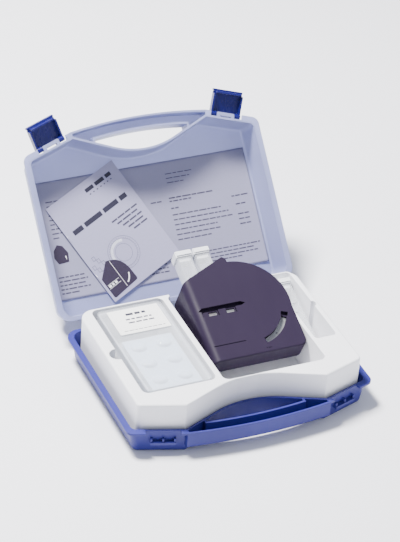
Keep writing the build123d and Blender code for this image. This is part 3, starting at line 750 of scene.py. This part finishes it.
def lathe(soup, centre, profile, n=36):
    pts, f = [], []
    m = len(profile)
    for k in range(n):
        a = 2 * math.pi * k / n
        for r, z in profile:
            pts.append(row(centre[0] + r * math.cos(a), centre[1] + r * math.sin(a), centre[2] + z))
    for k in range(n):
        b = (k + 1) % n
        for q in range(m - 1):
            f.append((k * m + q, b * m + q, b * m + q + 1, k * m + q + 1))
    pts += [row(centre[0], centre[1], centre[2] + profile[0][1]), row(centre[0], centre[1], centre[2] + profile[-1][1])]
    K = n * m
    for k in range(n):
        b = (k + 1) % n
        f.append((K, b * m, k * m))
        f.append((K + 1, k * m + m - 1, b * m + m - 1))
    soup.add(pts, f)


sp = Soup()
PROFILE = [(3.3, 0.0), (3.75, 0.12), (4.0, 0.45), (4.0, 1.3), (3.75, 1.62), (3.2, 1.8), (1.6, 1.88)]
for cx, cy in CENTRES:
    lathe(sp, (cx + 0.3, cy - 0.4, 49.18), PROFILE)
tab = make("tablets_pressed", sp.v, sp.f, MATS["tablet"], "tablet_box", True)
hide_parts("tablets")

# ------------------------------------------------------------------
# comparator: numbered scale ring on the disc, printed sight marks
# ------------------------------------------------------------------
def disc_pt(s, t, lift):
    return cmp_pt(50.0 + s, 58.0 + t, -11.3 + lift)


sp = Soup()
ring_band(sp, disc_pt, 0, 0, 41.6, 49.9, 0, 360, 120, 0.02, 0.12)
make("disc_scale_ring", sp.v, sp.f, MATS["ring"], "disc")
SEG = {"0": "abcdef", "1": "bc", "2": "abged", "3": "abgcd", "4": "fgbc", "5": "afgcd", "6": "afgedc", "7": "abc", "8": "abcdefg", "9": "abcdfg"}


def digit(soup, ch, ang, off, h=3.4, w=1.9, th=0.48, r=45.0):
    """A plain numeral of straight strokes, upright towards the rim."""
    e_r = Vector((math.cos(ang), math.sin(ang)))
    e_t = Vector((math.sin(ang), -math.cos(ang)))

    def pt(x, y, lift):
        q = e_r * (r + y) + e_t * (off + x)
        return disc_pt(q.x, q.y, lift)

    bars = {"a": (0, h - th, w, h), "g": (0, h / 2 - th / 2, w, h / 2 + th / 2), "d": (0, 0, w, th),
            "f": (0, h / 2, th, h), "b": (w - th, h / 2, w, h), "e": (0, 0, th, h / 2), "c": (w - th, 0, w, h / 2)}
    for q in SEG[ch]:
        x0, y0, x1, y1 = bars[q]
        soup.prism([pt(x, y, 0.16) for x, y in ((x0, y0), (x1, y0), (x1, y1), (x0, y1))],
                   [pt(x, y, 0.20) for x, y in ((x0, y0), (x1, y0), (x1, y1), (x0, y1))])


sp = Soup()
vals = ["0", "1", "2", "3", "4", "5", "6", "7", "8"]
for k in range(9):
    a = math.radians(-48.0 - 0.0 + k * 40.0)
    digit(sp, vals[k], a, -0.95)
for k in range(108):
    a = math.radians(-48.0 + k * 360.0 / 108)
    L = 1.9 if k % 3 == 0 else 1.1
    e = Vector((math.cos(a), math.sin(a)))
    t = Vector((-math.sin(a), math.cos(a))) * 0.16
    q = [e * 43.6 - t, e * 43.6 + t, e * (43.6 - L) + t, e * (43.6 - L) - t]
    sp.prism([disc_pt(p.x, p.y, 0.16) for p in q], [disc_pt(p.x, p.y, 0.20) for p in q])
make("disc_numbers", sp.v, sp.f, MATS["ink"], "disc")


# fill lines on the cells
def fill_marks(name, pt, body):
    s = Soup()
    for v, half in ((62.0, 4.5), (60.0, 1.6), (50.0, 1.6)):
        lo = [pt(-half, v, 8.22), pt(half, v, 8.22), pt(half, v + 0.45, 8.22), pt(-half, v + 0.45, 8.22)]
        hi = [pt(-half, v, 8.27), pt(half, v, 8.27), pt(half, v + 0.45, 8.27), pt(-half, v + 0.45, 8.27)]
        s.prism(lo, hi)
    make(name, s.v, s.f, MATS["ink_grey"], body)


fill_marks("fill_marks_left", lambda u, v, w: cmp_pt(17.5 + u, 49.0 + v, -24.0 + w), "cell_l")
fill_marks("fill_marks_right", lambda u, v, w: cmp_pt(38.0 + u, 49.0 + v, -24.0 + w), "cell_r")
fill_marks("fill_marks_spare", lambda u, v, w: spare_pt(u, v, w), "cell_s")

# ------------------------------------------------------------------
# floor, light, camera
# ------------------------------------------------------------------
me = bpy.data.meshes.new("floor")
me.from_pydata([(-6, -6, 0), (6, -6, 0), (6, 9, 0), (-6, 9, 0)], [], [(0, 1, 2, 3)])
floor = bpy.data.objects.new("floor", me)
bpy.context.scene.collection.objects.link(floor)
fm = Mat("floor_mat")
fm.set(Roughness=0.55)
fm.link(fm.ramp(fm.noise(2.0, 2.0), [(0.3, (0.84, 0.84, 0.88)), (0.7, (0.86, 0.86, 0.90))]), "Base Color")
me.materials.append(fm.m)

w = bpy.data.worlds.new("studio")
bpy.context.scene.world = w
w.use_nodes = True
w.node_tree.nodes["Background"].inputs[0].default_value = (0.80, 0.86, 1.0, 1.0)
w.node_tree.nodes["Background"].inputs[1].default_value = 0.62


def area(name, loc, target, size, power, col=(1, 1, 1)):
    d = bpy.data.lights.new(name, "AREA")
    d.shape = "RECTANGLE"
    d.size, d.size_y = size
    d.energy = power
    d.color = col
    o = bpy.data.objects.new(name, d)
    o.location = loc
    o.rotation_euler = (Vector(target) - Vector(loc)).to_track_quat("-Z", "Y").to_euler()
    bpy.context.scene.collection.objects.link(o)


area("key", (-0.55, 0.55, 2.0), (0, 0, 0.05), (0.5, 0.5), 195.0, (1.0, 0.99, 0.97))
area("fill", (1.5, -1.2, 1.2), (0, 0, 0.05), (1.4, 1.0), 9.0, (0.93, 0.95, 1.0))
area("front", (-0.8, -1.8, 1.0), (0, 0, 0.08), (1.6, 1.0), 3.0, (0.95, 0.96, 1.0))

cam = bpy.data.cameras.new("camera")
cam.sensor_width = 36.0
cam.lens = 2386.93 / 542.0 * 36.0
cam.clip_start, cam.clip_end = 0.05, 50.0
co = bpy.data.objects.new("camera", cam)
bpy.context.scene.collection.objects.link(co)
R = Matrix(((0.91599, 0.17775, -0.35967), (-0.39595, 0.54495, -0.73907), (0.06463, 0.81939, 0.56955)))
co.matrix_world = Matrix.Translation(Vector((-0.9003, -1.7911 + YS / 1000.0, 1.5247))) @ R.to_4x4()
bpy.context.scene.camera = co
